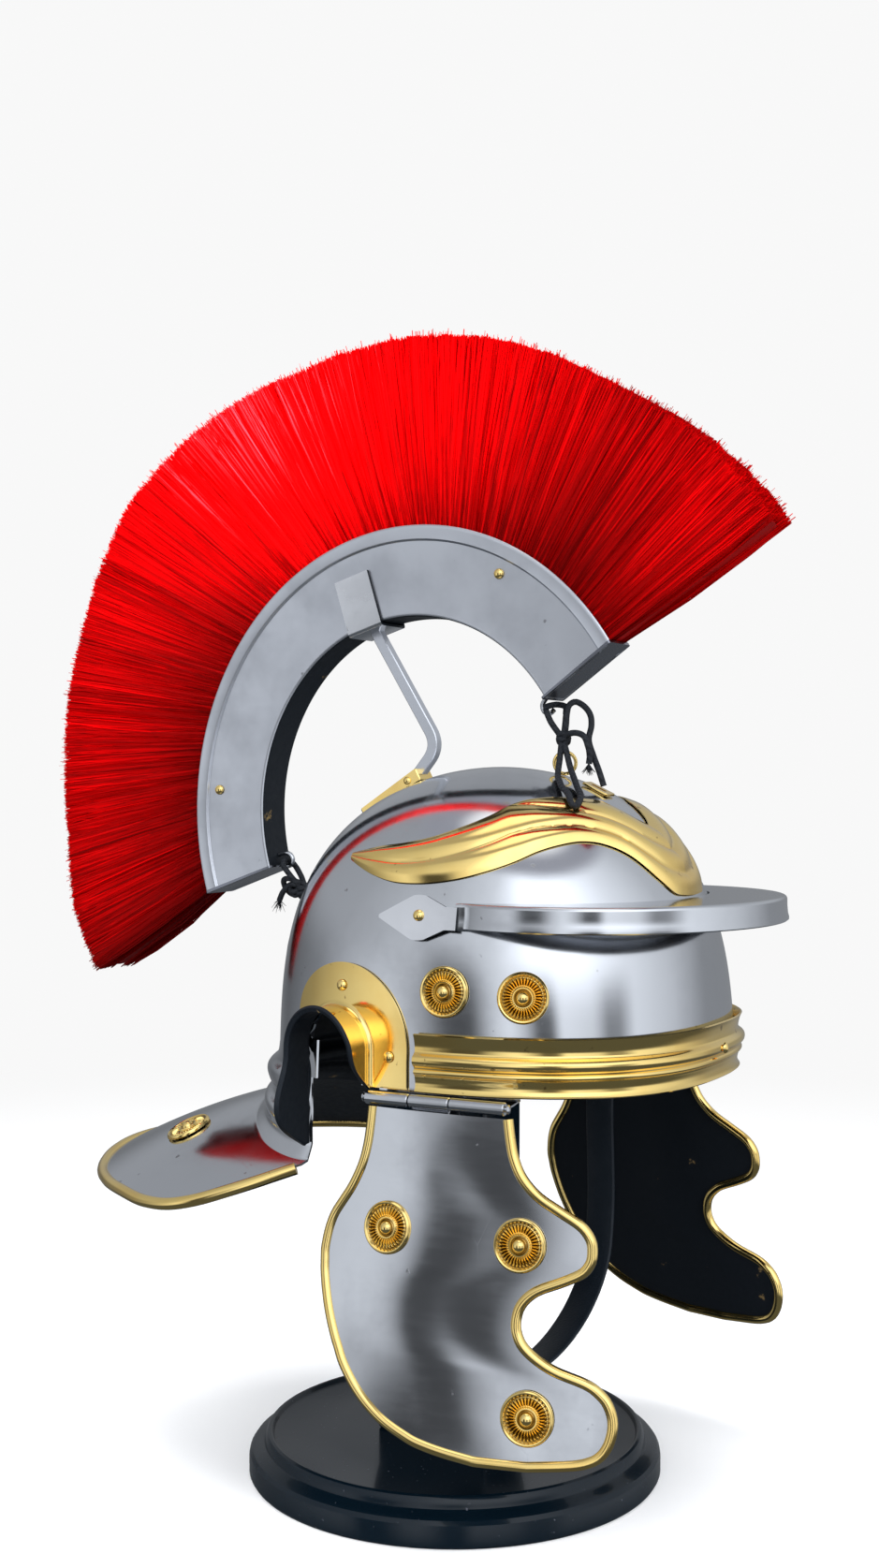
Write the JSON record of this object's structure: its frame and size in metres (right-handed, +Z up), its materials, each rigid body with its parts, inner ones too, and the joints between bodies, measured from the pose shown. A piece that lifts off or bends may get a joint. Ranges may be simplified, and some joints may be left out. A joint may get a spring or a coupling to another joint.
{
  "type": "roman legionary helmet on a display stand",
  "caption": "Steel and brass infantry helmet with hinged cheek guards, brow guard, neck guard and an arched red brush crest, standing on a round black wooden display stand.",
  "frame": {"origin": "centre of the underside of the stand's round base", "axes": "+Z up; the helmet faces -Y, so its front is towards -Y and its nape towards +Y; +X is the wearer's left"},
  "size_m": [0.2598, 0.4045, 0.5593],
  "materials": {
    "polished_steel": "polished, with faint brushing, scratches and stains",
    "polished_brass": "polished",
    "red_bristle": "dyed bristles, satin",
    "gloss_black_wood": "gloss black paint",
    "black_leather": "smooth, semi-gloss",
    "black_cord": "twisted cord, matt"
  },
  "bodies": {
    "helmet_on_stand": {"stand_base": "gloss_black_wood", "stand_post": "gloss_black_wood", "stand_head_block": "gloss_black_wood", "skull": "polished_steel", "brow_guard": "polished_steel", "crest_box": "polished_steel", "crest_support": "polished_steel", "crest_hook_front": "polished_steel", "crest_hook_rear": "polished_steel", "neck_guard_trim": "polished_brass", "brow_band": "polished_brass", "brow_wings": "polished_brass", "brow_band_rivet": "polished_brass", "crest_slot_plate": "polished_brass", "crest_slot_plate_rivet": "polished_brass", "crown_plate": "polished_brass", "tie_ring": "polished_brass", "ear_guard_left": "polished_brass", "brow_guard_rivet_left": "polished_brass", "ear_guard_rivet_upper_left": "polished_brass", "ear_guard_rivet_lower_left": "polished_brass", "bowl_rosette_rear_left": "polished_brass", "bowl_rosette_front_left": "polished_brass", "neck_guard_rosette_left": "polished_brass", "crest_rivet_front_left": "polished_brass", "crest_rivet_rear_left": "polished_brass", "hinge_fixed_left": "polished_steel", "hinge_pin_left": "polished_steel", "ear_guard_right": "polished_brass", "brow_guard_rivet_right": "polished_brass", "ear_guard_rivet_upper_right": "polished_brass", "ear_guard_rivet_lower_right": "polished_brass", "bowl_rosette_rear_right": "polished_brass", "bowl_rosette_front_right": "polished_brass", "neck_guard_rosette_right": "polished_brass", "crest_rivet_front_right": "polished_brass", "crest_rivet_rear_right": "polished_brass", "hinge_fixed_right": "polished_steel", "hinge_pin_right": "polished_steel", "crest_plume": "red_bristle", "chin_strap": "black_leather", "front_tie": "black_cord", "rear_tie": "black_cord", "rear_tie_strand": "black_cord"},
    "cheek_guard_left": {"hinge_moving_left": "polished_steel", "cheek_plate_left": "polished_steel", "cheek_trim_left": "polished_brass", "cheek_rosette_rear_left": "polished_brass", "cheek_rosette_front_left": "polished_brass", "cheek_rosette_lower_left": "polished_brass"},
    "cheek_guard_right": {"hinge_moving_right": "polished_steel", "cheek_plate_right": "polished_steel", "cheek_trim_right": "polished_brass", "cheek_rosette_rear_right": "polished_brass", "cheek_rosette_front_right": "polished_brass", "cheek_rosette_lower_right": "polished_brass"}
  },
  "joints": [
    {"name": "cheek_hinge_left", "type": "hinge", "parent": "helmet_on_stand", "child": "cheek_guard_left", "pos_m": [0.1038, -0.0465, 0.1996], "axis": [-0.023, -0.9997, 0], "range_deg": [-15, 85]},
    {"name": "cheek_hinge_right", "type": "hinge", "parent": "helmet_on_stand", "child": "cheek_guard_right", "pos_m": [-0.1038, -0.0465, 0.1996], "axis": [-0.023, 0.9997, 0], "range_deg": [-15, 85]}
  ]
}
